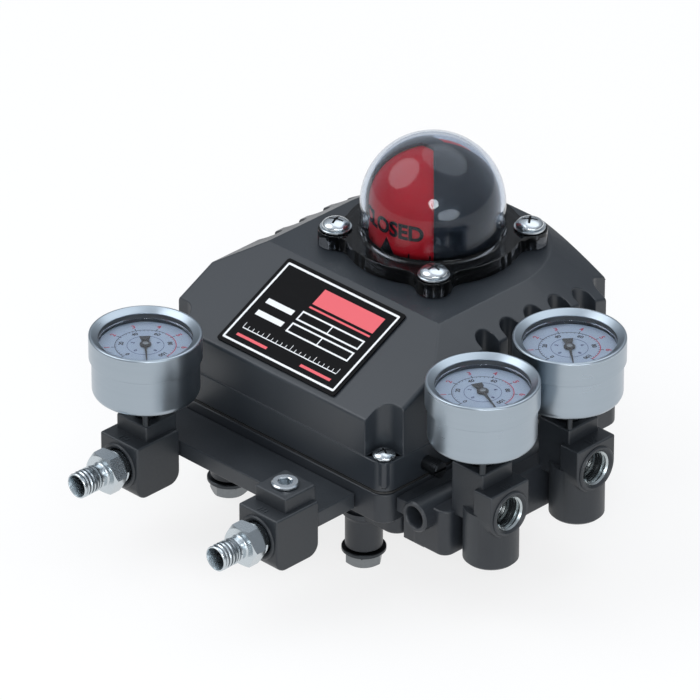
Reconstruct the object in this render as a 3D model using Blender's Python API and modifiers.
# A valve positioner: a sloped die-cast housing with a domed position indicator,
# two manifolds with four tee bodies, three pressure gauges and two air fittings.
# Frame: Z is the shaft's axis, the origin is the middle of the shaft's lower end,
# and -Y is the front with the label. Lengths are in metres.

import math

import bmesh
import bpy
from mathutils import Matrix, Vector

for old in list(bpy.data.objects):
    bpy.data.objects.remove(old, do_unlink=True)

# Clearances and facets
GAP = 0.0003
STEP = 0.0002
ROUND = 24
SMALL_ROUND = 12

# Housing footprint
HALF_WIDTH = 0.0610
FRONT_Y = -0.0880
BACK_Y = 0.0440
CORNER_RADIUS = 0.0060
WALL = 0.0030

# Base housing
SHAFT_BELOW_BASE = 0.0159
TRAY_HEIGHT = 0.0087
TRAY_FRONT_SETBACK = 0.0080
TRAY_SIDE_SETBACK = 0.0010
RIM_HEIGHT = 0.0124
BASE_FLOOR = 0.0035
CAVITY_SIDE_WALL = 0.0107
CAVITY_FRONT_SETBACK = 0.0120
BEARING_BOSS_RADIUS = 0.0140
BEARING_BOSS_HEIGHT = 0.0110
BASE_LIP_THICKNESS = 0.0021

# Gasket and lid
GASKET_THICKNESS = 0.0008
GASKET_WIDTH = 0.0040
LID_FLANGE_HEIGHT = 0.0126
LID_HEIGHT = 0.0496
LID_SETBACK = 0.0006
PLATEAU_RADIUS = 0.0455
PLATEAU_FRONT_Y = -0.0430
FRONT_SLOPE = 0.492
SIDE_SLOPE = 0.600
GROOVE_COUNT = 5
GROOVE_PITCH = 0.01315
GROOVE_FIRST_Y = -0.0298
GROOVE_RADIUS = 0.00425
GROOVE_DEPTH = 0.0075

# Lid screws in their corner pockets
LID_SCREW_INSET = 0.0052
LID_SCREW_HEAD_RADIUS = 0.00445
LID_SCREW_HEAD_HEIGHT = 0.0028
LID_SCREW_RADIUS = 0.0022
LID_SCREW_LENGTH = 0.0220
POCKET_RADIUS = 0.0056

# Label plate on the front slope
LABEL_WIDTH = 0.0630
LABEL_LENGTH = 0.0436
LABEL_TOP_Y = -0.0458
LABEL_THICKNESS = 0.0006

# Indicator dome
DOME_RADIUS = 0.0280
DOME_WALL = 0.0022
DOME_SKIRT = 0.0110
DOME_FLANGE_RADIUS = 0.0345
DOME_FLANGE_HEIGHT = 0.0061
DOME_LUG_CIRCLE = 0.0370
DOME_LUG_RADIUS = 0.0070
DOME_SCREW_RADIUS = 0.0025
DOME_SCREW_HEAD_RADIUS = 0.0054
DOME_SCREW_HEAD_HEIGHT = 0.0030
DOME_SCREW_LENGTH = 0.0120
DOME_WASHER_RADIUS = 0.0062
DOME_WASHER_THICKNESS = 0.0008

# Indicator behind the dome
SHROUD_GAP = 0.0006
SHROUD_WALL = 0.0012
SHROUD_RING_HEIGHT = 0.0060
DRUM_GAP = 0.0006
DRUM_PANEL = 0.0010
DRUM_WALL = 0.0012
DRUM_BOTTOM_GAP = 0.0040
PANEL_START = 0.0030
HUB_RADIUS = 0.0080
HUB_FLANGE_HEIGHT = 0.0030
HUB_HEIGHT = 0.0140

# Main shaft, its bushes and its cam
SHAFT_RADIUS = 0.0070
SHAFT_WAIST_RADIUS = 0.0060
SPIGOT_RADIUS = 0.0030
SHAFT_FLAT = 0.0045
SHAFT_FLAT_LENGTH = 0.0110
RUNNING_GAP = 0.0001
SHAFT_COLLAR_RADIUS = 0.0100
SHAFT_COLLAR_HEIGHT = 0.0030
BUSH_WALL = 0.0024
BUSH_FLANGE_RADIUS = 0.0125
BUSH_FLANGE_HEIGHT = 0.0015
SEAL_HEIGHT = 0.0020
CIRCLIP_RADIUS = 0.0090
CIRCLIP_THICKNESS = 0.0010
CAM_ABOVE_BASE = 0.0450
CAM_THICKNESS = 0.0025
CAM_SMALL_RADIUS = 0.0170
CAM_LIFT = 0.0060
CAM_POINTS = 48
CAM_NUT_RADIUS = 0.0110
CAM_NUT_HEIGHT = 0.0060

# Feedback lever
LEVER_ARM = 0.0340
LEVER_WIDTH = 0.0080
LEVER_THICKNESS = 0.0025
ROLLER_RADIUS = 0.0040
ROLLER_HEIGHT = 0.0035
ROLLER_PIN_RADIUS = 0.0015
LEVER_PIN_RADIUS = 0.0020
POST_RADIUS = 0.0050
PIN_HEAD_RADIUS = 0.0032
PIN_HEAD_HEIGHT = 0.0015
PIN_DEPTH = 0.0080

# Balance beam, signal capsule, pilot valve and spring
BEAM_PIVOT_X = 0.0050
BEAM_PIVOT_Y = -0.0550
BEAM_LEFT = -0.0340
BEAM_OVERRUN = 0.0050
BEAM_WIDTH = 0.0050
BEAM_HEIGHT = 0.0040
BEAM_POST_HEIGHT = 0.0200
CAPSULE_X = -0.0220
CAPSULE_RADIUS = 0.0150
CAPSULE_DEPTH = 0.0110
CAPSULE_FOOT_WIDTH = 0.0120
CAPSULE_ROD_RADIUS = 0.0020
CAPSULE_ROD_LENGTH = 0.0030
PILOT_FROM_WALL = 0.0103
PILOT_WIDTH = 0.0150
PILOT_DEPTH = 0.0130
PILOT_HEIGHT_OVER_BEAM = 0.0070
SPOOL_RADIUS = 0.0025
SPOOL_LENGTH = 0.0120
SPOOL_STEM = 0.0030
SPRING_X = -0.0120
SPRING_RADIUS = 0.0040
SPRING_WIRE = 0.0006
SPRING_TURNS = 5
SPRING_SEAT_RADIUS = 0.0026
SPRING_SEAT_LENGTH = 0.0030

# Zero adjusting knob
KNOB_X = 0.0300
KNOB_Y = -0.0280
KNOB_RADIUS = 0.0060
KNOB_HEIGHT = 0.0080
KNOB_STEM_RADIUS = 0.0020
KNOB_FLUTES = 12
KNOB_FLUTE_RADIUS = 0.0008
KNOB_POST_HEIGHT = 0.0160

# Right-hand manifold
MANIFOLD_DEPTH = 0.0221
MANIFOLD_FRONT_Y = -0.0780
MANIFOLD_BACK_Y = -0.0043
MANIFOLD_HEIGHT = 0.0195
MANIFOLD_POST_RADIUS = 0.0045
PIPE_OFFSET = 0.0108
PIPE_RISE = 0.0155
PIPE_RADIUS = 0.00623
PIPE_OVERHANG = 0.0050
PIPE_BORE = 0.0039
PIPE_BORE_DEPTH = 0.0140

# Front manifold plate
PLATE_HALF_WIDTH = 0.0458
PLATE_REACH = 0.0199
PLATE_TOP = 0.0332
PLATE_THICKNESS = 0.0067

# Tee bodies, in a local frame: port towards -Y, gauge axis at the origin
TEE_HALF_WIDTH = 0.0081
TEE_SHOULDER_HALF_WIDTH = 0.0098
TEE_SHOULDER_REACH = 0.0133
TEE_FACE_REACH = 0.0155
TEE_SHOULDER_DROP = 0.0061
TEE_PORT_DROP = 0.0168
TEE_HEIGHT = 0.0290
TEE_PORT_RING = 0.01035
TEE_RING_ROOT = 0.0015
TEE_PORT_BORE = 0.00672
TEE_PORT_DEPTH = 0.0115
TEE_TOP_BORE = 0.0050
TEE_TOP_BORE_DEPTH = 0.0125
TEE_LOWER_ROUND = 0.0050
FRONT_TEE_X = 0.0374
FRONT_TEE_TOP = 0.0455
RIGHT_TEE_FRONT_Y = -0.0648
RIGHT_TEE_SPACING = 0.0467
RIGHT_TEE_RISE = 0.0103
RIGHT_TEE_COLUMN_RADIUS = 0.01065
RIGHT_TEE_COLUMN_OFFSET = 0.0049

# Air fittings and the socket plug
FITTING_SHANK_RADIUS = 0.0063
FITTING_THREAD_RADIUS = 0.0068
FITTING_THREAD_LENGTH = 0.0026
FITTING_HEX = 0.0152
FITTING_HEX_LENGTH = 0.0062
FITTING_NECK_RADIUS = 0.0043
FITTING_NECK_LENGTH = 0.0025
FITTING_TIP_RADIUS = 0.0051
FITTING_TIP_LENGTH = 0.0100
FITTING_BORE = 0.0030
FITTING_MOUTH = 0.00445
FITTING_MOUTH_DEPTH = 0.0016
PLUG_RADIUS = 0.0050
PLUG_SHANK_RADIUS = 0.0046
PLUG_HEIGHT = 0.0012
PLUG_HEX = 0.0050
PLUG_HEX_DEPTH = 0.0045

# Pressure gauges
GAUGE_STEM_RADIUS = 0.0046
GAUGE_STEM_BORE = 0.0015
GAUGE_STEM_LENGTH = 0.0092
GAUGE_HEIGHT = 0.0257
CASE_RADIUS = 0.0206
CASE_WALL = 0.0012
CASE_FLOOR = 0.0015
CASE_BOTTOM_ROUND = 0.0030
BEZEL_WALL = 0.0010
BEZEL_HEIGHT = 0.0100
BEZEL_FACE = 0.0037
BEZEL_DROP = 0.0014
BEZEL_LIP = 0.0010
GLASS_THICKNESS = 0.0015
DIAL_DEPTH = 0.0054
DIAL_THICKNESS = 0.0005
POINTER_MARGIN = 0.0041
POINTER_TAIL = 0.0056
POINTER_WIDTH = 0.0016
POINTER_TAIL_WIDTH = 0.0040
POINTER_THICKNESS = 0.0005
POINTER_HUB_RADIUS = 0.0022
SPINDLE_RADIUS = 0.0006
SPINDLE_LENGTH = 0.0030

# Feet
FOOT_INSET = 0.0245
FOOT_FRONT_Y = -0.0740
FOOT_BACK_Y = 0.0300
STANDOFF_RADIUS = 0.00725
STANDOFF_LENGTH = 0.0150
FOOT_WASHER_RADIUS = 0.0086
FOOT_WASHER_THICKNESS = 0.0018
FOOT_BOLT_RADIUS = 0.0040
FOOT_BOLT_HEX = 0.0130
FOOT_BOLT_HEAD = 0.0050
FOOT_BOLT_ENGAGEMENT = 0.0110
FOOT_BOSS_WALL = 0.0030

# Vent plug on the lid's right-hand flange
VENT_Y = -0.0655
VENT_RADIUS = 0.0030
VENT_REACH = 0.0080
VENT_HEAD_RADIUS = 0.0042
VENT_HEAD_LENGTH = 0.0040
VENT_DEPTH = 0.0060

# Heights worked out from the sizes above
BASE_Z = SHAFT_BELOW_BASE
RIM_Z = BASE_Z + TRAY_HEIGHT
RIM_TOP = RIM_Z + RIM_HEIGHT
LID_Z = RIM_TOP + GASKET_THICKNESS + 2 * GAP
LEDGE_Z = LID_Z + LID_FLANGE_HEIGHT
PLATEAU_Z = LID_Z + LID_HEIGHT
FLOOR_TOP = BASE_Z + BASE_FLOOR
VENT_Z = (LID_Z + LEDGE_Z) / 2
SCREW_X = HALF_WIDTH - LID_SCREW_INSET
SCREW_FRONT_Y = FRONT_Y + LID_SCREW_INSET
SCREW_BACK_Y = BACK_Y - LID_SCREW_INSET
STANDOFF_LOW = BASE_Z - STANDOFF_LENGTH
CAVITY_HALF_WIDTH = HALF_WIDTH - CAVITY_SIDE_WALL
FOOT_X = HALF_WIDTH - FOOT_INSET
PIPE_X = HALF_WIDTH + PIPE_OFFSET
PILOT_X = CAVITY_HALF_WIDTH - PILOT_FROM_WALL
BEAM_RIGHT = PILOT_X + BEAM_OVERRUN
BEZEL_RADIUS = CASE_RADIUS + BEZEL_WALL
WINDOW_RADIUS = BEZEL_RADIUS - BEZEL_FACE
POINTER_LENGTH = WINDOW_RADIUS - POINTER_MARGIN
FAR = 0.2
UP = (0, 0, 1)
FRONT = (0, -1, 0)
RIGHT = (1, 0, 0)

PART = bpy.data.collections.new("valve_positioner")
TOOLS = bpy.data.collections.new("cutters")
bpy.context.scene.collection.children.link(PART)
bpy.context.scene.collection.children.link(TOOLS)


# Materials: name -> colour, roughness, metallic
FINISHES = {
    "satin_paint": ((0.045, 0.047, 0.052), 0.45, 0.0),
    "black_paint": ((0.020, 0.020, 0.022), 0.40, 0.0),
    "clear_plastic": ((0.80, 0.82, 0.84), 0.05, 0.0),
    "black_plastic": ((0.015, 0.015, 0.016), 0.25, 0.0),
    "red_plastic": ((0.60, 0.02, 0.02), 0.40, 0.0),
    "yellow_plastic": ((0.80, 0.60, 0.03), 0.40, 0.0),
    "rubber": ((0.020, 0.020, 0.020), 0.80, 0.0),
    "steel": ((0.55, 0.56, 0.58), 0.30, 1.0),
    "nickel": ((0.62, 0.60, 0.56), 0.22, 1.0),
    "brass": ((0.70, 0.50, 0.22), 0.30, 1.0),
    "aluminium": ((0.70, 0.71, 0.73), 0.35, 1.0),
    "dial_face": ((0.75, 0.80, 0.85), 0.60, 0.0),
    "dark_steel": ((0.20, 0.20, 0.21), 0.45, 1.0),
}


def finish(obj, name):
    """Give the object its own material in one of the finishes."""
    colour, roughness, metallic = FINISHES[name]
    material = bpy.data.materials.new(obj.name)
    material.use_nodes = True
    shader = material.node_tree.nodes["Principled BSDF"]
    shader.inputs["Base Color"].default_value = (*colour, 1.0)
    shader.inputs["Roughness"].default_value = roughness
    shader.inputs["Metallic"].default_value = metallic
    obj.data.materials.clear()
    obj.data.materials.append(material)
    obj.data.shade_smooth()
    obj.data.set_sharp_from_angle(angle=math.radians(35))
    return obj


def place_mesh(name, bm, matrix=Matrix()):
    """Make an object of a bmesh, in the part's collection."""
    mesh = bpy.data.meshes.new(name)
    bm.to_mesh(mesh)
    bm.free()
    obj = bpy.data.objects.new(name, mesh)
    obj.matrix_world = matrix
    PART.objects.link(obj)
    return obj


def baked(obj):
    """Turn a curve or an object with modifiers into a plain welded mesh object."""
    bpy.context.view_layer.update()
    shape = obj.evaluated_get(bpy.context.evaluated_depsgraph_get())
    mesh = bpy.data.meshes.new_from_object(shape)
    bm = bmesh.new()
    bm.from_mesh(mesh)
    bmesh.ops.remove_doubles(bm, verts=bm.verts, dist=1e-6)
    bmesh.ops.dissolve_degenerate(bm, edges=bm.edges, dist=1e-6)
    bmesh.ops.recalc_face_normals(bm, faces=bm.faces)
    bpy.data.meshes.remove(mesh)
    matrix = obj.matrix_world.copy()
    name = obj.name
    bpy.data.objects.remove(obj, do_unlink=True)
    return place_mesh(name, bm, matrix)


def aimed(place, direction):
    """A matrix whose local Z looks along the direction."""
    turn = Vector(direction).to_track_quat("Z", "Y").to_matrix().to_4x4()
    return Matrix.Translation(place) @ turn


def block(name, low, high, matrix=Matrix()):
    """A box from its low corner to its high corner."""
    bm = bmesh.new()
    bmesh.ops.create_cube(bm, size=1.0)
    size = [b - a for a, b in zip(low, high)]
    middle = [(a + b) / 2 for a, b in zip(low, high)]
    bmesh.ops.scale(bm, vec=size, verts=bm.verts)
    bmesh.ops.translate(bm, vec=middle, verts=bm.verts)
    return place_mesh(name, bm, matrix)


def rod(name, radius, start, direction, length, end_radius=None, segments=ROUND):
    """A cylinder or cone that starts at a point and runs along a direction."""
    bm = bmesh.new()
    far_radius = radius if end_radius is None else end_radius
    bmesh.ops.create_cone(
        bm, cap_ends=True, segments=segments, radius1=radius, radius2=far_radius, depth=length
    )
    bmesh.ops.translate(bm, vec=(0, 0, length / 2), verts=bm.verts)
    return place_mesh(name, bm, aimed(start, direction))


def plate(name, outline, low, high, matrix=Matrix()):
    """A flat outline, drawn as a filled curve, between two heights."""
    curve = bpy.data.curves.new(name, "CURVE")
    curve.dimensions = "2D"
    curve.fill_mode = "BOTH"
    curve.extrude = (high - low) / 2
    spline = curve.splines.new("POLY")
    spline.points.add(len(outline) - 1)
    for point, (x, y) in zip(spline.points, outline):
        point.co = (x, y, 0, 1)
    spline.use_cyclic_u = True
    obj = bpy.data.objects.new(name, curve)
    PART.objects.link(obj)
    obj.matrix_world = matrix @ Matrix.Translation((0, 0, (low + high) / 2))
    return baked(obj)


def turned(name, profile, place=(0, 0, 0), direction=UP, closed=False, segments=ROUND):
    """A turned piece: (radius, height) points down the outer side, then up the inner side."""
    bm = bmesh.new()
    points = [bm.verts.new((radius, 0, height)) for radius, height in profile]
    for first, second in zip(points, points[1:]):
        bm.edges.new((first, second))
    if closed:
        bm.edges.new((points[-1], points[0]))
    obj = place_mesh(name, bm, aimed(place, direction))
    screw = obj.modifiers.new("Screw", "SCREW")
    screw.steps = segments
    screw.render_steps = segments
    screw.use_merge_vertices = True
    screw.merge_threshold = 1e-6
    return baked(obj)


def as_tool(obj):
    """Keep an object only as a shape that cuts or joins another."""
    PART.objects.unlink(obj)
    TOOLS.objects.link(obj)
    obj.hide_render = True
    obj.display_type = "WIRE"
    return obj


def combine(obj, operation, tools):
    for tool in tools:
        as_tool(tool)
        step = obj.modifiers.new(operation.title(), "BOOLEAN")
        step.operation = operation
        step.object = tool
    return obj


def cut(obj, *tools):
    return combine(obj, "DIFFERENCE", tools)


def join(obj, *tools):
    return combine(obj, "UNION", tools)


def rounded_rectangle(left, right, front, back, radius, steps=4):
    centres = (
        (right - radius, back - radius, 0),
        (left + radius, back - radius, 90),
        (left + radius, front + radius, 180),
        (right - radius, front + radius, 270),
    )
    points = []
    for x, y, start in centres:
        for step in range(steps + 1):
            angle = math.radians(start + 90 * step / steps)
            points.append((x + radius * math.cos(angle), y + radius * math.sin(angle)))
    return points


def hexagon(name, across_flats, start, direction, length):
    return rod(name, across_flats / math.sqrt(3), start, direction, length, segments=6)


def corners():
    """The lid screws' places, with the outward sign of X and Y."""
    return [
        (sx * SCREW_X, y, sx, sy)
        for sx in (-1, 1)
        for y, sy in ((SCREW_FRONT_Y, -1), (SCREW_BACK_Y, 1))
    ]


def foot_places():
    return [(sx * FOOT_X, y) for sx in (-1, 1) for y in (FOOT_FRONT_Y, FOOT_BACK_Y)]


def lug_places():
    reach = DOME_LUG_CIRCLE / math.sqrt(2)
    return [(sx * reach, sy * reach) for sx in (-1, 1) for sy in (-1, 1)]


# Feedback geometry: the roller sits in front of the cam and the lever lies across
LEVER_PIVOT_X = -LEVER_ARM
ROLLER_Y = -(CAM_SMALL_RADIUS + GAP + ROLLER_RADIUS)
CAM_Z = BASE_Z + CAM_ABOVE_BASE
LEVER_Z = CAM_Z - LEVER_THICKNESS - 3 * GAP - PIN_HEAD_HEIGHT
BEAM_Z = FLOOR_TOP + BEAM_POST_HEIGHT + GAP


def base_housing():
    tray = plate(
        "base_housing",
        rounded_rectangle(
            -HALF_WIDTH + TRAY_SIDE_SETBACK,
            HALF_WIDTH - TRAY_SIDE_SETBACK,
            FRONT_Y + TRAY_FRONT_SETBACK,
            BACK_Y - TRAY_SIDE_SETBACK,
            CORNER_RADIUS,
        ),
        BASE_Z,
        RIM_Z + TRAY_SIDE_SETBACK,
    )
    rim_outline = rounded_rectangle(-HALF_WIDTH, HALF_WIDTH, FRONT_Y, BACK_Y, CORNER_RADIUS)
    join(tray, plate("rim", rim_outline, RIM_Z, RIM_TOP))
    cavity_front = FRONT_Y + CAVITY_FRONT_SETBACK
    cavity = block(
        "base_cavity",
        (-CAVITY_HALF_WIDTH, cavity_front, FLOOR_TOP),
        (CAVITY_HALF_WIDTH, BACK_Y - WALL - TRAY_SIDE_SETBACK, RIM_TOP + FAR),
    )
    cut(tray, cavity)
    join(tray, rod("bearing_boss", BEARING_BOSS_RADIUS, (0, 0, BASE_Z + WALL / 2), UP,
                   BEARING_BOSS_HEIGHT + BASE_FLOOR - WALL / 2))
    lip = SHAFT_RADIUS + GAP
    pocket = SHAFT_RADIUS + BUSH_WALL + 2 * GAP
    cut(tray, rod("shaft_hole", lip, (0, 0, 0), UP, FAR))
    cut(tray, rod("bush_pocket", pocket, (0, 0, BASE_Z + BASE_LIP_THICKNESS), UP, FAR))
    boss_height = FOOT_BOLT_ENGAGEMENT + 2 * GAP - WALL / 2
    leg_length = STANDOFF_LENGTH + WALL / 2
    for x, y in foot_places():
        boss_radius = FOOT_BOLT_RADIUS + FOOT_BOSS_WALL
        join(tray, rod("foot_boss", boss_radius, (x, y, BASE_Z + WALL / 2), UP,
                       boss_height, segments=SMALL_ROUND))
        join(tray, rod("leg", STANDOFF_RADIUS, (x, y, STANDOFF_LOW), UP, leg_length,
                       segments=ROUND))
        hole_length = FOOT_BOLT_ENGAGEMENT + STANDOFF_LENGTH + WALL - GAP
        cut(tray, rod("foot_hole", FOOT_BOLT_RADIUS + GAP, (x, y, STANDOFF_LOW - WALL), UP,
                      hole_length, segments=SMALL_ROUND))
    posts = (
        (LEVER_PIVOT_X, ROLLER_Y, LEVER_Z - GAP),
        (BEAM_PIVOT_X, BEAM_PIVOT_Y, BEAM_Z - GAP),
        (KNOB_X, KNOB_Y, FLOOR_TOP + KNOB_POST_HEIGHT),
    )
    for x, y, top in posts:
        post_bottom = BASE_Z + WALL / 2
        join(tray, rod("post", POST_RADIUS, (x, y, post_bottom), UP, top - post_bottom,
                       segments=SMALL_ROUND))
        hole_radius = LEVER_PIN_RADIUS + GAP
        cut(tray, rod("pin_hole", hole_radius, (x, y, top - PIN_DEPTH - GAP), UP,
                      PIN_DEPTH + WALL, segments=SMALL_ROUND))
    for x, y, sx, sy in corners():
        cut(tray, rod("lid_screw_hole", LID_SCREW_RADIUS + GAP,
                      (x, y, LEDGE_Z - LID_SCREW_LENGTH - GAP), UP, LID_SCREW_LENGTH,
                      segments=SMALL_ROUND))
    return finish(tray, "satin_paint")


def stadium_roof(name, radius, top):
    """A truncated cone about the shaft's axis, drawn out forwards into a ridge."""
    drop = PLATEAU_Z
    bm = bmesh.new()
    for ring_radius, z in ((radius, top), (radius + drop / SIDE_SLOPE, top - drop)):
        for step in range(SMALL_ROUND + 1):
            angle = math.pi * step / SMALL_ROUND
            bm.verts.new((ring_radius * math.cos(angle), ring_radius * math.sin(angle), z))
        for side in (-1, 1):
            bm.verts.new((side * ring_radius, -FAR, z))
    bmesh.ops.convex_hull(bm, input=bm.verts)
    bmesh.ops.recalc_face_normals(bm, faces=bm.faces)
    return place_mesh(name, bm)


def lid_form(name, half_width, front, back, low, wall):
    """The lid's sloped block, or the hollow in it, with its top faces moved in by the wall."""
    top = PLATEAU_Z - wall
    form = block(name, (-half_width, front, low), (half_width, back, top + FAR))
    steep = math.sqrt(1 + SIDE_SLOPE**2)
    roof_radius = PLATEAU_RADIUS - wall * (steep - 1) / SIDE_SLOPE
    combine(form, "INTERSECT", [stadium_roof(name + "_roof", roof_radius, top)])
    run = math.sqrt(1 + FRONT_SLOPE**2)
    slope_start = PLATEAU_FRONT_Y + wall * (run - 1) / FRONT_SLOPE
    tilt = Matrix.Translation((0, slope_start, top)) @ Matrix.Rotation(
        math.atan(FRONT_SLOPE), 4, "X"
    )
    cut(form, block(name + "_slope", (-FAR, -FAR, 0), (FAR, FAR, FAR), tilt))
    return form


def pocket_outline(x, y, sx, sy, radius):
    """A corner pocket in plan: round towards the lid's middle, open to both walls."""
    points = [(x + sx * FAR, y - sy * radius)]
    for step in range(5):
        angle = math.pi / 2 + math.pi / 2 * step / 4
        points.append((x + sx * radius * math.cos(angle), y - sy * radius * math.sin(angle)))
    points += [(x - sx * radius, y + sy * FAR), (x + sx * FAR, y + sy * FAR)]
    return points


def groove_outline(side, y):
    """A side groove in plan: a half round towards the middle, open to the wall."""
    middle = HALF_WIDTH - GROOVE_DEPTH + GROOVE_RADIUS
    points = []
    for step in range(7):
        angle = math.pi / 2 + math.pi * step / 6
        across = middle + GROOVE_RADIUS * math.cos(angle)
        points.append((side * across, y + GROOVE_RADIUS * math.sin(angle)))
    edge = side * (HALF_WIDTH + FAR)
    return points + [(edge, y - GROOVE_RADIUS), (edge, y + GROOVE_RADIUS)]


def lid_cover():
    outline = rounded_rectangle(-HALF_WIDTH, HALF_WIDTH, FRONT_Y, BACK_Y, CORNER_RADIUS)
    lid = plate("lid_cover", outline, LID_Z, LEDGE_Z)
    join(lid, lid_form("lid_body", HALF_WIDTH - LID_SETBACK, FRONT_Y + LID_SETBACK,
                       BACK_Y - LID_SETBACK, LID_Z + WALL, 0))
    hollow = lid_form("lid_hollow", CAVITY_HALF_WIDTH, FRONT_Y + LID_SETBACK + WALL,
                      BACK_Y - LID_SETBACK - WALL, LID_Z - WALL, WALL)
    for x, y, sx, sy in corners():
        cut(hollow, rod("pocket_wall", POCKET_RADIUS + WALL, (x, y, LID_Z - WALL), UP, FAR))
        cut(lid, plate("pocket", pocket_outline(x, y, sx, sy, POCKET_RADIUS), LEDGE_Z, FAR))
        cut(lid, rod("screw_hole", LID_SCREW_RADIUS + GAP, (x, y, LID_Z - WALL), UP, FAR,
                     segments=SMALL_ROUND))
    cut(lid, hollow)
    for side in (-1, 1):
        for index in range(GROOVE_COUNT):
            y = GROOVE_FIRST_Y + index * GROOVE_PITCH
            cut(lid, plate("groove", groove_outline(side, y), LEDGE_Z, FAR))
    cut(lid, rod("shaft_hole", SHAFT_RADIUS + BUSH_WALL + 2 * GAP,
                 (0, 0, PLATEAU_Z - 2 * WALL), UP, FAR))
    for x, y in lug_places():
        cut(lid, rod("dome_screw_hole", DOME_SCREW_RADIUS + GAP,
                     (x, y, PLATEAU_Z - 2 * WALL), UP, FAR, segments=SMALL_ROUND))
    vent = (HALF_WIDTH + WALL, VENT_Y, VENT_Z)
    cut(lid, rod("vent_hole", VENT_RADIUS + GAP, vent, (-1, 0, 0), VENT_DEPTH + WALL + GAP,
                 segments=SMALL_ROUND))
    return finish(lid, "satin_paint")


def lid_gasket():
    low = RIM_TOP + GAP
    inset = GAP
    outer = rounded_rectangle(-HALF_WIDTH + inset, HALF_WIDTH - inset, FRONT_Y + inset,
                              BACK_Y - inset, CORNER_RADIUS)
    width = HALF_WIDTH - CAVITY_HALF_WIDTH - GAP
    inner = rounded_rectangle(-HALF_WIDTH + width, HALF_WIDTH - width,
                              FRONT_Y + CAVITY_FRONT_SETBACK, BACK_Y - GASKET_WIDTH,
                              CORNER_RADIUS)
    gasket = plate("lid_gasket", outer, low, low + GASKET_THICKNESS)
    cut(gasket, plate("gasket_window", inner, low - WALL, low + WALL))
    for x, y, sx, sy in corners():
        cut(gasket, rod("gasket_hole", LID_SCREW_RADIUS + GAP, (x, y, low - WALL), UP,
                        3 * WALL, segments=SMALL_ROUND))
    return finish(gasket, "rubber")


def pan_head_screw(name, x, y, seat, radius, length, head_radius, head_height):
    """A pan-head screw whose head sits just above the seat, with a cross recess."""
    under = seat + GAP
    profile = [
        (0, under + head_height),
        (head_radius * 0.55, under + head_height * 0.95),
        (head_radius * 0.88, under + head_height * 0.70),
        (head_radius, under + head_height * 0.35),
        (head_radius, under),
        (radius, under),
        (radius, under - length + GAP),
        (0, under - length + GAP),
    ]
    screw = turned(name, profile, (x, y, 0), segments=SMALL_ROUND)
    reach = head_radius * 0.55
    slot = head_radius * 0.12
    floor = under + head_height * 0.45
    cut(screw, block("recess", (-reach, -slot, floor), (reach, slot, FAR),
                     Matrix.Translation((x, y, 0))))
    cut(screw, block("recess", (-slot, -reach, floor), (slot, reach, FAR),
                     Matrix.Translation((x, y, 0))))
    return screw


def lid_screws():
    for number, (x, y, sx, sy) in enumerate(corners(), 1):
        screw = pan_head_screw(f"lid_screw_{number}", x, y, LEDGE_Z, LID_SCREW_RADIUS,
                               LID_SCREW_LENGTH - 2 * GAP, LID_SCREW_HEAD_RADIUS,
                               LID_SCREW_HEAD_HEIGHT)
        finish(screw, "steel")


def label_plate():
    tilt = Matrix.Translation((0, PLATEAU_FRONT_Y, PLATEAU_Z)) @ Matrix.Rotation(
        math.atan(FRONT_SLOPE), 4, "X"
    )
    run = math.sqrt(1 + FRONT_SLOPE**2)
    top = (LABEL_TOP_Y - PLATEAU_FRONT_Y) * run
    label = block("label_plate", (-LABEL_WIDTH / 2, top - LABEL_LENGTH, GAP),
                  (LABEL_WIDTH / 2, top, GAP + LABEL_THICKNESS), tilt)
    return finish(label, "black_paint")


DOME_Z = PLATEAU_Z + GAP
DOME_FLANGE_TOP = DOME_Z + DOME_FLANGE_HEIGHT
DOME_CENTRE_Z = DOME_FLANGE_TOP + DOME_SKIRT


def bowl_profile(outer, inner, low, centre, steps=5):
    """A skirt that ends in a half sphere: down the outside, then up the inside."""
    points = []
    for step in range(steps + 1):
        angle = math.pi / 2 * (1 - step / steps)
        points.append((outer * math.cos(angle), centre + outer * math.sin(angle)))
    points[0] = (0, centre + outer)
    points += [(outer, low), (inner, low)]
    for step in range(steps + 1):
        angle = math.pi / 2 * step / steps
        points.append((inner * math.cos(angle), centre + inner * math.sin(angle)))
    points[-1] = (0, centre + inner)
    return points


def indicator_dome():
    inner = DOME_RADIUS - DOME_WALL
    profile = bowl_profile(DOME_RADIUS, inner, DOME_Z, DOME_CENTRE_Z)
    skirt = profile.index((DOME_RADIUS, DOME_Z))
    flange = [
        (DOME_RADIUS, DOME_FLANGE_TOP),
        (DOME_FLANGE_RADIUS, DOME_FLANGE_TOP),
        (DOME_FLANGE_RADIUS, DOME_Z),
    ]
    bowl = turned("indicator_dome", profile[:skirt] + flange + profile[skirt + 1:], segments=ROUND)
    root = DOME_RADIUS + DOME_WALL
    for x, y in lug_places():
        turn = Matrix.Rotation(math.atan2(y, x), 4, "Z")
        outline = [(root, -DOME_LUG_RADIUS)]
        for step in range(9):
            angle = math.pi * (step / 8 - 0.5)
            outline.append((DOME_LUG_CIRCLE + DOME_LUG_RADIUS * math.cos(angle),
                            DOME_LUG_RADIUS * math.sin(angle)))
        outline.append((root, DOME_LUG_RADIUS))
        join(bowl, plate("lug", outline, DOME_Z + STEP, DOME_FLANGE_TOP - STEP, turn))
        cut(bowl, rod("lug_hole", DOME_SCREW_RADIUS + GAP, (x, y, DOME_Z - WALL), UP,
                      FAR, segments=SMALL_ROUND))
    return finish(bowl, "clear_plastic")


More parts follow.
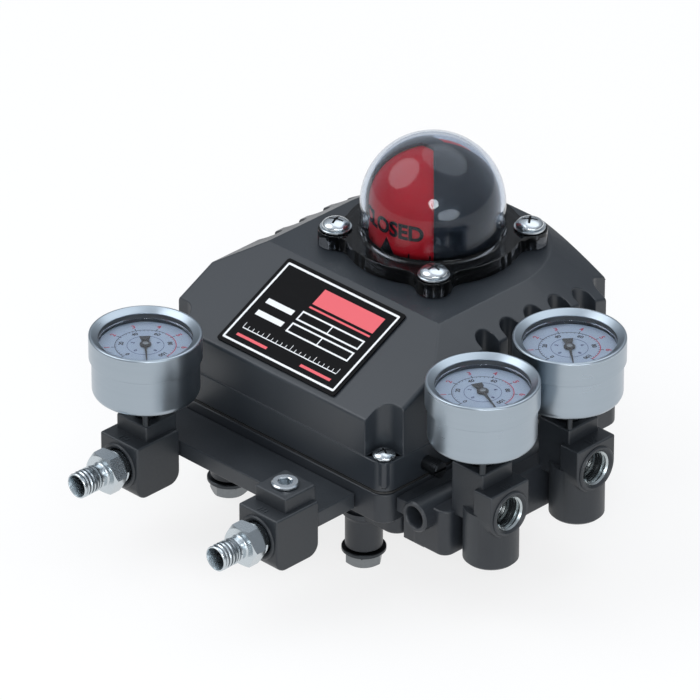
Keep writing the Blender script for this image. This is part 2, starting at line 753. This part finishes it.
def dome_screws():
    """Four screws, each with its washer held under the head."""
    low = DOME_FLANGE_TOP + GAP
    for number, (x, y) in enumerate(lug_places(), 1):
        screw = pan_head_screw(f"dome_screw_{number}", x, y, low + DOME_WASHER_THICKNESS - GAP,
                               DOME_SCREW_RADIUS, DOME_SCREW_LENGTH, DOME_SCREW_HEAD_RADIUS,
                               DOME_SCREW_HEAD_HEIGHT)
        washer = rod("washer", DOME_WASHER_RADIUS, (x, y, low), UP, DOME_WASHER_THICKNESS,
                     segments=SMALL_ROUND)
        finish(join(screw, washer), "steel")


SHROUD_RADIUS = DOME_RADIUS - DOME_WALL - SHROUD_GAP
PANEL_RADIUS = SHROUD_RADIUS - SHROUD_WALL - DRUM_GAP
DRUM_RADIUS = PANEL_RADIUS - DRUM_PANEL - GAP
DRUM_Z = PLATEAU_Z + DRUM_BOTTOM_GAP
HUB_Z = PLATEAU_Z + DRUM_BOTTOM_GAP
HUB_TOP = HUB_Z + HUB_HEIGHT


def quadrant(name, side, low, start=PANEL_START):
    """A wedge that covers one quarter, about the Y axis, above a height."""
    outline = [(-start, side * start), (start, side * start), (FAR, side * FAR), (-FAR, side * FAR)]
    return plate(name, outline, low, FAR + PLATEAU_Z)


def indicator_shroud():
    """The fixed cover over the drum, with a window to the front and to the back."""
    inner = SHROUD_RADIUS - SHROUD_WALL
    shroud = turned("indicator_shroud",
                    bowl_profile(SHROUD_RADIUS, inner, PLATEAU_Z + GAP, DOME_CENTRE_Z))
    window_low = PLATEAU_Z + GAP + SHROUD_RING_HEIGHT
    for side in (-1, 1):
        cut(shroud, quadrant("window", side, window_low))
    return finish(shroud, "black_plastic")


def rotor_yellow():
    """The drum that turns with the shaft, with a boss that fits over the hub."""
    inner = DRUM_RADIUS - DRUM_WALL
    drum = turned("rotor_yellow", bowl_profile(DRUM_RADIUS, inner, DRUM_Z, DOME_CENTRE_Z))
    boss_low = HUB_TOP + GAP
    boss_top = DOME_CENTRE_Z + math.sqrt(inner**2 - HUB_RADIUS**2) + DRUM_WALL / 3
    join(drum, turned("drum_boss", [
        (HUB_RADIUS, boss_top),
        (HUB_RADIUS, boss_low),
        (SPIGOT_RADIUS, boss_low),
        (SPIGOT_RADIUS, boss_top),
    ], closed=True))
    return finish(drum, "yellow_plastic")


def rotor_red():
    """A red cover on the drum, with one panel facing each window when the valve is closed."""
    cover = turned("rotor_red", bowl_profile(PANEL_RADIUS, DRUM_RADIUS + GAP, DRUM_Z,
                                             DOME_CENTRE_Z))
    wedges = quadrant("panel_wedge", 1, DRUM_Z - WALL)
    crown = rod("panel_crown", 2 * PANEL_START, (0, 0, DRUM_Z), UP, FAR)
    join(wedges, quadrant("panel_wedge", -1, DRUM_Z - WALL), crown)
    combine(cover, "INTERSECT", [wedges])
    return finish(cover, "red_plastic")


def rotor_hub():
    bore = SPIGOT_RADIUS + GAP
    rim = DRUM_RADIUS - DRUM_WALL - GAP
    hub = turned("rotor_hub", [
        (HUB_RADIUS, HUB_TOP),
        (HUB_RADIUS, HUB_Z + HUB_FLANGE_HEIGHT),
        (rim, HUB_Z + HUB_FLANGE_HEIGHT),
        (rim, HUB_Z),
        (bore, HUB_Z),
        (bore, HUB_TOP),
    ], closed=True)
    return finish(hub, "black_plastic")


UPPER_BUSH_TOP = PLATEAU_Z + GAP
SPIGOT_Z = HUB_Z - GAP
LOWER_BUSH_Z = BASE_Z + BASE_LIP_THICKNESS + SEAL_HEIGHT + 2 * GAP
LOWER_BUSH_FLANGE_Z = FLOOR_TOP + BEARING_BOSS_HEIGHT + GAP
CAM_SEAT_Z = CAM_Z - GAP
UPPER_BUSH_Z = PLATEAU_Z - WALL - GAP - BUSH_FLANGE_HEIGHT
CIRCLIP_Z = UPPER_BUSH_Z - GAP - CIRCLIP_THICKNESS


def main_shaft():
    groove_low = CIRCLIP_Z - GAP
    groove_radius = SHAFT_WAIST_RADIUS - 2 * GAP
    profile = [
        (0, HUB_TOP - GAP),
        (SPIGOT_RADIUS, HUB_TOP - GAP),
        (SPIGOT_RADIUS, SPIGOT_Z),
        (SHAFT_RADIUS, SPIGOT_Z),
        (SHAFT_RADIUS, UPPER_BUSH_Z),
        (groove_radius, UPPER_BUSH_Z),
        (groove_radius, groove_low),
        (SHAFT_WAIST_RADIUS, groove_low),
        (SHAFT_WAIST_RADIUS, CAM_SEAT_Z),
        (SHAFT_COLLAR_RADIUS, CAM_SEAT_Z),
        (SHAFT_COLLAR_RADIUS, CAM_SEAT_Z - SHAFT_COLLAR_HEIGHT),
        (SHAFT_RADIUS, CAM_SEAT_Z - SHAFT_COLLAR_HEIGHT),
        (SHAFT_RADIUS, 0),
        (0, 0),
    ]
    shaft = turned("main_shaft", profile)
    for side in (-1, 1):
        low = (SHAFT_FLAT, -FAR, -FAR) if side > 0 else (-FAR, -FAR, -FAR)
        high = (FAR, FAR, SHAFT_FLAT_LENGTH) if side > 0 else (-SHAFT_FLAT, FAR, SHAFT_FLAT_LENGTH)
        cut(shaft, block("shaft_flat", low, high))
    return finish(shaft, "steel")


def bush(name, low, high, flange_low, flange_high):
    inner = SHAFT_RADIUS + RUNNING_GAP
    outer = SHAFT_RADIUS + BUSH_WALL
    profile = [(outer, high), (outer, low), (inner, low), (inner, high)]
    body = turned(name, profile, closed=True)
    flange = [
        (BUSH_FLANGE_RADIUS, flange_high),
        (BUSH_FLANGE_RADIUS, flange_low),
        ((inner + outer) / 2, flange_low),
        ((inner + outer) / 2, flange_high),
    ]
    join(body, turned(name + "_flange", flange, closed=True))
    return finish(body, "brass")


def shaft_bushes():
    bush("shaft_bush_lower", LOWER_BUSH_Z, LOWER_BUSH_FLANGE_Z + BUSH_FLANGE_HEIGHT,
         LOWER_BUSH_FLANGE_Z, LOWER_BUSH_FLANGE_Z + BUSH_FLANGE_HEIGHT)
    bush("shaft_bush_upper", UPPER_BUSH_Z, UPPER_BUSH_TOP,
         UPPER_BUSH_Z, UPPER_BUSH_Z + BUSH_FLANGE_HEIGHT)


def shaft_seal():
    low = BASE_Z + BASE_LIP_THICKNESS + GAP
    inner = SHAFT_RADIUS + GAP
    outer = SHAFT_RADIUS + BUSH_WALL
    seal = turned("shaft_seal", [
        (outer, low + SEAL_HEIGHT),
        (outer, low),
        (inner, low),
        (inner, low + SEAL_HEIGHT),
    ], closed=True)
    return finish(seal, "rubber")


def shaft_circlip():
    inner = SHAFT_WAIST_RADIUS - GAP
    clip = turned("shaft_circlip", [
        (CIRCLIP_RADIUS, CIRCLIP_Z + CIRCLIP_THICKNESS),
        (CIRCLIP_RADIUS, CIRCLIP_Z),
        (inner, CIRCLIP_Z),
        (inner, CIRCLIP_Z + CIRCLIP_THICKNESS),
    ], closed=True)
    cut(clip, block("clip_gap", (-SPIGOT_RADIUS, 0, CIRCLIP_Z - WALL),
                    (SPIGOT_RADIUS, FAR, CIRCLIP_Z + WALL)))
    return finish(clip, "steel")


def cam_radius(angle):
    """Radius in the direction of an angle in degrees: the lift grows over a quarter turn."""
    back = (-90 - angle) % 360
    if back <= 90:
        return CAM_SMALL_RADIUS + CAM_LIFT * back / 90
    if back <= 120:
        return CAM_SMALL_RADIUS + CAM_LIFT
    if back <= 330:
        return CAM_SMALL_RADIUS + CAM_LIFT * (330 - back) / 210
    return CAM_SMALL_RADIUS


def position_cam():
    outline = []
    for step in range(CAM_POINTS):
        angle = 360 * step / CAM_POINTS
        radius = cam_radius(angle)
        turn = math.radians(angle)
        outline.append((radius * math.cos(turn), radius * math.sin(turn)))
    cam = plate("position_cam", outline, CAM_Z, CAM_Z + CAM_THICKNESS)
    cut(cam, rod("cam_bore", SHAFT_WAIST_RADIUS + GAP, (0, 0, CAM_Z - WALL), UP, FAR))
    return finish(cam, "aluminium")


def cam_nut():
    low = CAM_Z + CAM_THICKNESS + GAP
    bore = SHAFT_WAIST_RADIUS + GAP
    nut = turned("cam_nut", [
        (CAM_NUT_RADIUS, low + CAM_NUT_HEIGHT),
        (CAM_NUT_RADIUS, low),
        (bore, low),
        (bore, low + CAM_NUT_HEIGHT),
    ], closed=True)
    return finish(nut, "brass")


def feedback_lever():
    """A flat arm from its pivot pin to the roller, with the roller's pin standing on it."""
    low = LEVER_Z
    high = LEVER_Z + LEVER_THICKNESS
    half = LEVER_WIDTH / 2
    arm = block("feedback_lever", (LEVER_PIVOT_X, ROLLER_Y - half, low),
                (0, ROLLER_Y + half, high))
    for x in (LEVER_PIVOT_X, 0):
        join(arm, rod("lever_end", half, (x, ROLLER_Y, low), UP, LEVER_THICKNESS,
                      segments=SMALL_ROUND))
    join(arm, rod("roller_pin", ROLLER_PIN_RADIUS, (0, ROLLER_Y, low + WALL / 3), UP,
                  ROLLER_TOP + GAP - low, segments=SMALL_ROUND))
    seat_start = (SPRING_X, ROLLER_Y - half + WALL / 3, SPRING_Z)
    join(arm, rod("spring_seat", SPRING_SEAT_RADIUS, seat_start, FRONT,
                  SPRING_SEAT_LENGTH + WALL / 3, segments=SMALL_ROUND))
    drop_low = SPRING_Z - SPRING_SEAT_RADIUS
    join(arm, block("spring_tab", (SPRING_X - half, ROLLER_Y - half, drop_low),
                    (SPRING_X + half, ROLLER_Y - half + WALL / 2, high)))
    cut(arm, rod("pivot_hole", LEVER_PIN_RADIUS + RUNNING_GAP,
                 (LEVER_PIVOT_X, ROLLER_Y, low - WALL), UP, 3 * WALL, segments=SMALL_ROUND))
    return finish(arm, "steel")


ROLLER_Z = LEVER_Z + LEVER_THICKNESS + GAP
ROLLER_TOP = CAM_Z + ROLLER_HEIGHT
SPRING_Z = BEAM_Z + BEAM_HEIGHT / 2
BEAM_BACK_Y = BEAM_PIVOT_Y + BEAM_WIDTH / 2
BEAM_FRONT_Y = BEAM_PIVOT_Y - BEAM_WIDTH / 2


def feedback_roller():
    inner = ROLLER_PIN_RADIUS + RUNNING_GAP
    roller = turned("feedback_roller", [
        (ROLLER_RADIUS, ROLLER_TOP),
        (ROLLER_RADIUS, ROLLER_Z),
        (inner, ROLLER_Z),
        (inner, ROLLER_TOP),
    ], (0, ROLLER_Y, 0), closed=True)
    return finish(roller, "brass")


def pivot_pin(name, x, y, seat, thickness):
    """A headed pin through a lever of a given thickness into its post."""
    under = seat + thickness + GAP
    profile = [
        (0, under + PIN_HEAD_HEIGHT),
        (PIN_HEAD_RADIUS, under + PIN_HEAD_HEIGHT),
        (PIN_HEAD_RADIUS, under),
        (LEVER_PIN_RADIUS, under),
        (LEVER_PIN_RADIUS, seat - PIN_DEPTH),
        (0, seat - PIN_DEPTH),
    ]
    return finish(turned(name, profile, (x, y, 0), segments=SMALL_ROUND), "steel")


def balance_beam():
    low = (BEAM_LEFT, BEAM_FRONT_Y, BEAM_Z)
    beam = block("balance_beam", low, (BEAM_RIGHT, BEAM_BACK_Y, BEAM_Z + BEAM_HEIGHT))
    join(beam, rod("beam_spring_seat", SPRING_SEAT_RADIUS * 0.7,
                   (SPRING_X, BEAM_BACK_Y - WALL / 3, SPRING_Z), (0, 1, 0),
                   SPRING_SEAT_LENGTH + WALL / 3, segments=SMALL_ROUND))
    join(beam, rod("beam_hub", POST_RADIUS, (BEAM_PIVOT_X, BEAM_PIVOT_Y, BEAM_Z), UP,
                   BEAM_HEIGHT, segments=SMALL_ROUND))
    cut(beam, rod("beam_hole", LEVER_PIN_RADIUS + RUNNING_GAP,
                  (BEAM_PIVOT_X, BEAM_PIVOT_Y, BEAM_Z - WALL), UP, 4 * WALL,
                  segments=SMALL_ROUND))
    return finish(beam, "aluminium")


def range_spring():
    """A compression spring between the lever's tab and the beam."""
    start = ROLLER_Y - LEVER_WIDTH / 2 - GAP - SPRING_WIRE
    end = BEAM_BACK_Y + GAP + SPRING_WIRE
    curve = bpy.data.curves.new("range_spring", "CURVE")
    curve.dimensions = "3D"
    curve.bevel_depth = SPRING_WIRE
    curve.bevel_resolution = 1
    curve.use_fill_caps = True
    spline = curve.splines.new("POLY")
    steps = 8 * SPRING_TURNS
    spline.points.add(steps)
    for step in range(steps + 1):
        turn = 2 * math.pi * step / 8
        x = SPRING_X + SPRING_RADIUS * math.cos(turn)
        z = SPRING_Z + SPRING_RADIUS * math.sin(turn)
        y = start + (end - start) * step / steps
        spline.points[step].co = (x, y, z, 1)
    spring = bpy.data.objects.new("range_spring", curve)
    PART.objects.link(spring)
    return finish(baked(spring), "steel")


def signal_capsule():
    """The diaphragm drum that pushes the beam, on a foot on the base floor."""
    rod_end = BEAM_FRONT_Y - GAP
    face = rod_end - CAPSULE_ROD_LENGTH
    centre_z = BEAM_Z + BEAM_HEIGHT / 2
    drum = rod("signal_capsule", CAPSULE_RADIUS, (CAPSULE_X, face, centre_z), FRONT,
               CAPSULE_DEPTH)
    join(drum, rod("capsule_rod", CAPSULE_ROD_RADIUS, (CAPSULE_X, rod_end, centre_z), FRONT,
                   CAPSULE_ROD_LENGTH + WALL, segments=SMALL_ROUND))
    half = CAPSULE_FOOT_WIDTH / 2
    inset = CAPSULE_DEPTH / 4
    join(drum, block("capsule_foot",
                     (CAPSULE_X - half, face - CAPSULE_DEPTH + inset, FLOOR_TOP + GAP),
                     (CAPSULE_X + half, face - inset, centre_z)))
    return finish(drum, "aluminium")


def pilot_block():
    stem_end = BEAM_FRONT_Y - GAP
    face = stem_end - SPOOL_STEM
    centre_z = BEAM_Z + BEAM_HEIGHT / 2
    half = PILOT_WIDTH / 2
    boss_top = BASE_Z + FOOT_BOLT_ENGAGEMENT + 2 * GAP
    housing = block("pilot_block", (PILOT_X - half, face - PILOT_DEPTH, boss_top + GAP),
                    (PILOT_X + half, face, centre_z + PILOT_HEIGHT_OVER_BEAM))
    cut(housing, rod("spool_bore", SPOOL_RADIUS + RUNNING_GAP, (PILOT_X, face + WALL, centre_z),
                     FRONT, PILOT_DEPTH + 2 * WALL, segments=SMALL_ROUND))
    finish(housing, "aluminium")
    spool = rod("pilot_spool", SPOOL_RADIUS, (PILOT_X, stem_end, centre_z), FRONT,
                SPOOL_LENGTH, segments=SMALL_ROUND)
    return finish(spool, "steel")


def zero_knob():
    """A fluted knob on a threaded stem in its post."""
    seat = FLOOR_TOP + KNOB_POST_HEIGHT + GAP
    knob = rod("zero_knob", KNOB_RADIUS, (KNOB_X, KNOB_Y, seat), UP, KNOB_HEIGHT,
               segments=ROUND)
    join(knob, rod("knob_stem", KNOB_STEM_RADIUS, (KNOB_X, KNOB_Y, seat - PIN_DEPTH + GAP), UP,
                   PIN_DEPTH + WALL / 2, segments=SMALL_ROUND))
    for index in range(KNOB_FLUTES):
        angle = 2 * math.pi * index / KNOB_FLUTES
        x = KNOB_X + KNOB_RADIUS * math.cos(angle)
        y = KNOB_Y + KNOB_RADIUS * math.sin(angle)
        cut(knob, rod("flute", KNOB_FLUTE_RADIUS, (x, y, seat - GAP), UP, FAR, segments=8))
    return finish(knob, "brass")


def right_manifold():
    """The block on the base's right wall, with a capped pipe along its top."""
    left = HALF_WIDTH + GAP
    right = left + MANIFOLD_DEPTH
    top = BASE_Z + MANIFOLD_HEIGHT
    outline = rounded_rectangle(left, right, MANIFOLD_FRONT_Y, MANIFOLD_BACK_Y,
                                MANIFOLD_POST_RADIUS, steps=3)
    body = plate("right_manifold", outline, BASE_Z, top)
    join(body, block("manifold_back", (left, MANIFOLD_FRONT_Y, BASE_Z),
                     (PIPE_X, MANIFOLD_BACK_Y, top)))
    pipe_front = MANIFOLD_FRONT_Y - PIPE_OVERHANG
    pipe_z = BASE_Z + PIPE_RISE
    join(body, rod("pipe", PIPE_RADIUS, (PIPE_X, pipe_front, pipe_z), (0, 1, 0),
                   MANIFOLD_BACK_Y - pipe_front))
    web_thickness = 2 * PIPE_RADIUS * 0.5
    join(body, block("front_web", (left, pipe_front + WALL / 3, pipe_z - PIPE_RADIUS / 3),
                     (PIPE_X, MANIFOLD_FRONT_Y + WALL, pipe_z - PIPE_RADIUS / 3 + web_thickness)))
    cut(body, rod("pipe_bore", PIPE_BORE, (PIPE_X, pipe_front - WALL, pipe_z), (0, 1, 0),
                  PIPE_BORE_DEPTH + WALL, segments=SMALL_ROUND))
    return finish(body, "satin_paint")


def front_plate():
    """The plate on the base's front wall that carries the two front tees."""
    plate_back = FRONT_Y - GAP
    body = block("front_plate", (-PLATE_HALF_WIDTH, plate_back - PLATE_REACH + GAP,
                                 PLATE_TOP - PLATE_THICKNESS),
                 (PLATE_HALF_WIDTH, plate_back, PLATE_TOP))
    return finish(body, "satin_paint")


def tee(name, place, top, facing, column):
    """A tee body: a square neck for a gauge, a wider shoulder and a round port ring."""
    turn = Matrix.Translation((place[0], place[1], top)) @ Matrix.Rotation(
        math.radians(facing), 4, "Z"
    )
    low = -TEE_HEIGHT
    neck_low = low if not column else low + TEE_LOWER_ROUND + 2 * TEE_SHOULDER_DROP
    body = block(name, (-TEE_HALF_WIDTH, -TEE_HALF_WIDTH, neck_low),
                 (TEE_HALF_WIDTH, TEE_HALF_WIDTH, 0), turn)
    port_z = -TEE_PORT_DROP
    shoulder_bottom = low if not column else port_z - TEE_PORT_RING + GAP
    back = -TEE_HALF_WIDTH + WALL if column else TEE_HALF_WIDTH - 2 * GAP
    join(body, block("shoulder", (-TEE_SHOULDER_HALF_WIDTH, -TEE_SHOULDER_REACH, shoulder_bottom),
                     (TEE_SHOULDER_HALF_WIDTH, back, -TEE_SHOULDER_DROP), turn))
    ring_start = TEE_SHOULDER_REACH - TEE_RING_ROOT
    ring = rod("port_ring", TEE_PORT_RING, (0, 0, 0), UP, TEE_FACE_REACH - ring_start)
    ring.matrix_world = turn @ aimed((0, -ring_start, port_z), FRONT)
    join(body, ring)
    if column:
        drop = top - BASE_Z
        post = rod("column", RIGHT_TEE_COLUMN_RADIUS, (0, 0, 0), UP, drop + port_z)
        post.matrix_world = turn @ Matrix.Translation((0, -RIGHT_TEE_COLUMN_OFFSET, -drop))
        join(body, post)
    bore = rod("port_bore", TEE_PORT_BORE, (0, 0, 0), UP, TEE_PORT_DEPTH + WALL)
    bore.matrix_world = turn @ aimed((0, -TEE_FACE_REACH - WALL, port_z), (0, 1, 0))
    neck_bore = rod("neck_bore", TEE_TOP_BORE, (0, 0, 0), UP, TEE_TOP_BORE_DEPTH + WALL,
                    segments=ROUND)
    neck_bore.matrix_world = turn @ Matrix.Translation((0, 0, -TEE_TOP_BORE_DEPTH))
    cut(body, bore, neck_bore)
    return finish(body, "satin_paint")


FRONT_TEE_Y = FRONT_Y - PLATE_REACH - 2 * GAP - TEE_HALF_WIDTH
RIGHT_TEE_X = HALF_WIDTH + MANIFOLD_DEPTH + 2 * GAP + RIGHT_TEE_COLUMN_RADIUS - RIGHT_TEE_COLUMN_OFFSET
RIGHT_TEE_TOP = FRONT_TEE_TOP + RIGHT_TEE_RISE
RIGHT_TEE_BACK_Y = RIGHT_TEE_FRONT_Y + RIGHT_TEE_SPACING


def tees():
    tee("tee_front_left", (-FRONT_TEE_X, FRONT_TEE_Y), FRONT_TEE_TOP, 0, False)
    tee("tee_front_right", (FRONT_TEE_X, FRONT_TEE_Y), FRONT_TEE_TOP, 0, False)
    tee("tee_right_front", (RIGHT_TEE_X, RIGHT_TEE_FRONT_Y), RIGHT_TEE_TOP, 90, True)
    tee("tee_right_rear", (RIGHT_TEE_X, RIGHT_TEE_BACK_Y), RIGHT_TEE_TOP, 90, True)


def air_fitting(name, x):
    """A male adaptor: shank in the port, two thread rings, a hexagon, a neck and a tip."""
    shank = TEE_PORT_DEPTH - 2 * GAP
    length = FITTING_THREAD_LENGTH + FITTING_HEX_LENGTH + FITTING_NECK_LENGTH + FITTING_TIP_LENGTH
    face_y = FRONT_TEE_Y - TEE_FACE_REACH
    place = (x, face_y, FRONT_TEE_TOP - TEE_PORT_DROP)
    hex_start = FITTING_THREAD_LENGTH
    hex_end = hex_start + FITTING_HEX_LENGTH
    neck_end = hex_end + FITTING_NECK_LENGTH
    shank_end = FITTING_THREAD_LENGTH / 2
    body = turned(name, [
        (0, length),
        (FITTING_TIP_RADIUS, length),
        (FITTING_TIP_RADIUS, neck_end),
        (FITTING_NECK_RADIUS, neck_end),
        (FITTING_NECK_RADIUS, shank_end),
        (FITTING_SHANK_RADIUS, shank_end),
        (FITTING_SHANK_RADIUS, -shank),
        (0, -shank),
    ], place, FRONT, segments=ROUND)
    along = Vector(FRONT)
    thread = rod("fitting_thread", FITTING_THREAD_RADIUS, Vector(place) + along * GAP, FRONT,
                 hex_start, segments=ROUND)
    hexagonal = hexagon("fitting_hex", FITTING_HEX, Vector(place) + along * hex_start, FRONT,
                        FITTING_HEX_LENGTH)
    bore = rod("fitting_bore", FITTING_BORE, Vector(place) - along * (shank + WALL), FRONT,
               length + shank + 2 * WALL, segments=ROUND)
    mouth_start = Vector(place) + along * (length - FITTING_MOUTH_DEPTH)
    mouth = rod("fitting_mouth", FITTING_BORE - GAP, mouth_start, FRONT,
                FITTING_MOUTH_DEPTH + GAP, FITTING_MOUTH, segments=ROUND)
    return cut(join(body, thread, hexagonal), bore, mouth)


def air_fittings():
    finish(air_fitting("air_fitting_left", -FRONT_TEE_X), "nickel")
    finish(air_fitting("air_fitting_right", FRONT_TEE_X), "nickel")


def socket_plug():
    seat = FRONT_TEE_TOP + GAP
    shank = TEE_TOP_BORE_DEPTH - 2 * GAP
    place = (FRONT_TEE_X, FRONT_TEE_Y, seat)
    plug = turned("socket_plug", [
        (0, PLUG_HEIGHT),
        (PLUG_RADIUS + GAP, PLUG_HEIGHT),
        (PLUG_RADIUS + GAP, 0),
        (PLUG_SHANK_RADIUS, 0),
        (PLUG_SHANK_RADIUS, -shank),
        (0, -shank),
    ], place)
    start = Vector(place) + Vector((0, 0, PLUG_HEIGHT - PLUG_HEX_DEPTH))
    cut(plug, hexagon("plug_socket", PLUG_HEX, start, UP, FAR))
    return finish(plug, "steel")


def gauge(name, x, y, neck_top, pointer_turn):
    """A gauge on a tee: stem, cup-shaped case, dial, pointer, glass and bezel."""
    place = (x, y, 0)
    bottom = neck_top + GAUGE_STEM_LENGTH
    rim = neck_top + GAUGE_STEM_LENGTH + GAUGE_HEIGHT
    glass_top = rim - BEZEL_DROP - BEZEL_LIP - GAP
    glass_low = glass_top - GLASS_THICKNESS
    case_top = glass_low - GAP
    dial_top = rim - DIAL_DEPTH
    dial_low = dial_top - DIAL_THICKNESS
    inner = CASE_RADIUS - CASE_WALL
    rounding = CASE_BOTTOM_ROUND
    stem_low = neck_top - TEE_TOP_BORE_DEPTH + GAP
    hole = SPINDLE_RADIUS + GAP
    finish(turned(name + "_case", [
        (CASE_RADIUS, case_top),
        (CASE_RADIUS, bottom + rounding),
        (CASE_RADIUS - rounding * 0.3, bottom + rounding * 0.3),
        (CASE_RADIUS - rounding, bottom),
        (GAUGE_STEM_RADIUS, bottom),
        (GAUGE_STEM_RADIUS, stem_low),
        (GAUGE_STEM_BORE, stem_low),
        (GAUGE_STEM_BORE, bottom + CASE_FLOOR),
        (inner - rounding * 0.6, bottom + CASE_FLOOR),
        (inner, bottom + CASE_FLOOR + rounding * 0.6),
        (inner, dial_low),
        (hole, dial_low),
        (hole, dial_top),
        (inner, dial_top),
        (inner, case_top),
    ], place, closed=True), "steel")

    ring_inner = CASE_RADIUS + GAP
    finish(turned(name + "_bezel", [
        (WINDOW_RADIUS, rim - BEZEL_DROP),
        (BEZEL_RADIUS - BEZEL_DROP / 2, rim),
        (BEZEL_RADIUS, rim - BEZEL_DROP / 2),
        (BEZEL_RADIUS, rim - BEZEL_HEIGHT),
        (ring_inner, rim - BEZEL_HEIGHT),
        (ring_inner, glass_top + GAP),
        (WINDOW_RADIUS, glass_top + GAP),
    ], place, closed=True), "steel")

    glass = rod(name + "_glass", CASE_RADIUS - GAP, (x, y, glass_low), UP, GLASS_THICKNESS)
    finish(glass, "clear_plastic")

    low = dial_top + GAP
    half = POINTER_WIDTH / 2
    turn = Matrix.Translation((x, y, 0)) @ Matrix.Rotation(pointer_turn, 4, "Z")
    tail_half = POINTER_TAIL_WIDTH / 2
    outline = [
        (-tail_half, POINTER_TAIL),
        (-half * 0.6, 0),
        (-half * 0.25, -POINTER_LENGTH),
        (half * 0.25, -POINTER_LENGTH),
        (half * 0.6, 0),
        (tail_half, POINTER_TAIL),
    ]
    pointer = plate(name + "_pointer", outline, low, low + POINTER_THICKNESS, turn)
    hub = rod("pointer_hub", POINTER_HUB_RADIUS, (x, y, low - GAP / 2), UP,
              POINTER_THICKNESS + GAP, segments=SMALL_ROUND)
    spindle = rod("pointer_spindle", SPINDLE_RADIUS, (x, y, low - SPINDLE_LENGTH), UP,
                  SPINDLE_LENGTH + POINTER_THICKNESS / 2, segments=SMALL_ROUND)
    finish(join(pointer, hub, spindle), "black_plastic")


GAUGES = (
    ("gauge_front", -FRONT_TEE_X, FRONT_TEE_Y, FRONT_TEE_TOP, 48.4),
    ("gauge_right_front", RIGHT_TEE_X, RIGHT_TEE_FRONT_Y, RIGHT_TEE_TOP, 65.8),
    ("gauge_right_rear", RIGHT_TEE_X, RIGHT_TEE_BACK_Y, RIGHT_TEE_TOP, 50.4),
)


def gauges():
    for name, x, y, neck_top, degrees in GAUGES:
        gauge(name, x, y, neck_top, math.radians(degrees))


def foot_bolts():
    """A hexagon bolt with its washer under each leg of the base."""
    washer_top = STANDOFF_LOW - GAP
    washer_low = washer_top - FOOT_WASHER_THICKNESS
    shank_top = BASE_Z + FOOT_BOLT_ENGAGEMENT - 2 * GAP
    for number, (x, y) in enumerate(foot_places(), 1):
        head = hexagon(f"foot_bolt_{number}", FOOT_BOLT_HEX, (x, y, washer_low - FOOT_BOLT_HEAD),
                       UP, FOOT_BOLT_HEAD + GAP)
        washer = rod("foot_washer", FOOT_WASHER_RADIUS, (x, y, washer_low), UP,
                     FOOT_WASHER_THICKNESS, segments=ROUND)
        shank = rod("bolt_shank", FOOT_BOLT_RADIUS, (x, y, washer_low + GAP), UP,
                    shank_top - washer_low - GAP, segments=SMALL_ROUND)
        finish(join(head, washer, shank), "dark_steel")


def vent_plug():
    """A small breather screwed into the lid's right-hand flange."""
    profile = [
        (0, VENT_REACH),
        (VENT_HEAD_RADIUS, VENT_REACH),
        (VENT_HEAD_RADIUS, VENT_REACH - VENT_HEAD_LENGTH),
        (VENT_RADIUS, VENT_REACH - VENT_HEAD_LENGTH),
        (VENT_RADIUS, -VENT_DEPTH),
        (0, -VENT_DEPTH),
    ]
    plug = turned("vent_plug", profile, (HALF_WIDTH, VENT_Y, VENT_Z), RIGHT,
                  segments=SMALL_ROUND)
    return finish(plug, "dark_steel")


base_housing()
lid_cover()
lid_gasket()
lid_screws()
label_plate()
indicator_dome()
dome_screws()
indicator_shroud()
rotor_yellow()
rotor_red()
rotor_hub()
main_shaft()
shaft_bushes()
shaft_seal()
shaft_circlip()
position_cam()
cam_nut()
feedback_lever()
feedback_roller()
pivot_pin("lever_pin", LEVER_PIVOT_X, ROLLER_Y, LEVER_Z, LEVER_THICKNESS)
balance_beam()
pivot_pin("beam_pin", BEAM_PIVOT_X, BEAM_PIVOT_Y, BEAM_Z, BEAM_HEIGHT)
range_spring()
signal_capsule()
pilot_block()
zero_knob()
right_manifold()
front_plate()
tees()
air_fittings()
socket_plug()
gauges()
foot_bolts()
vent_plug()
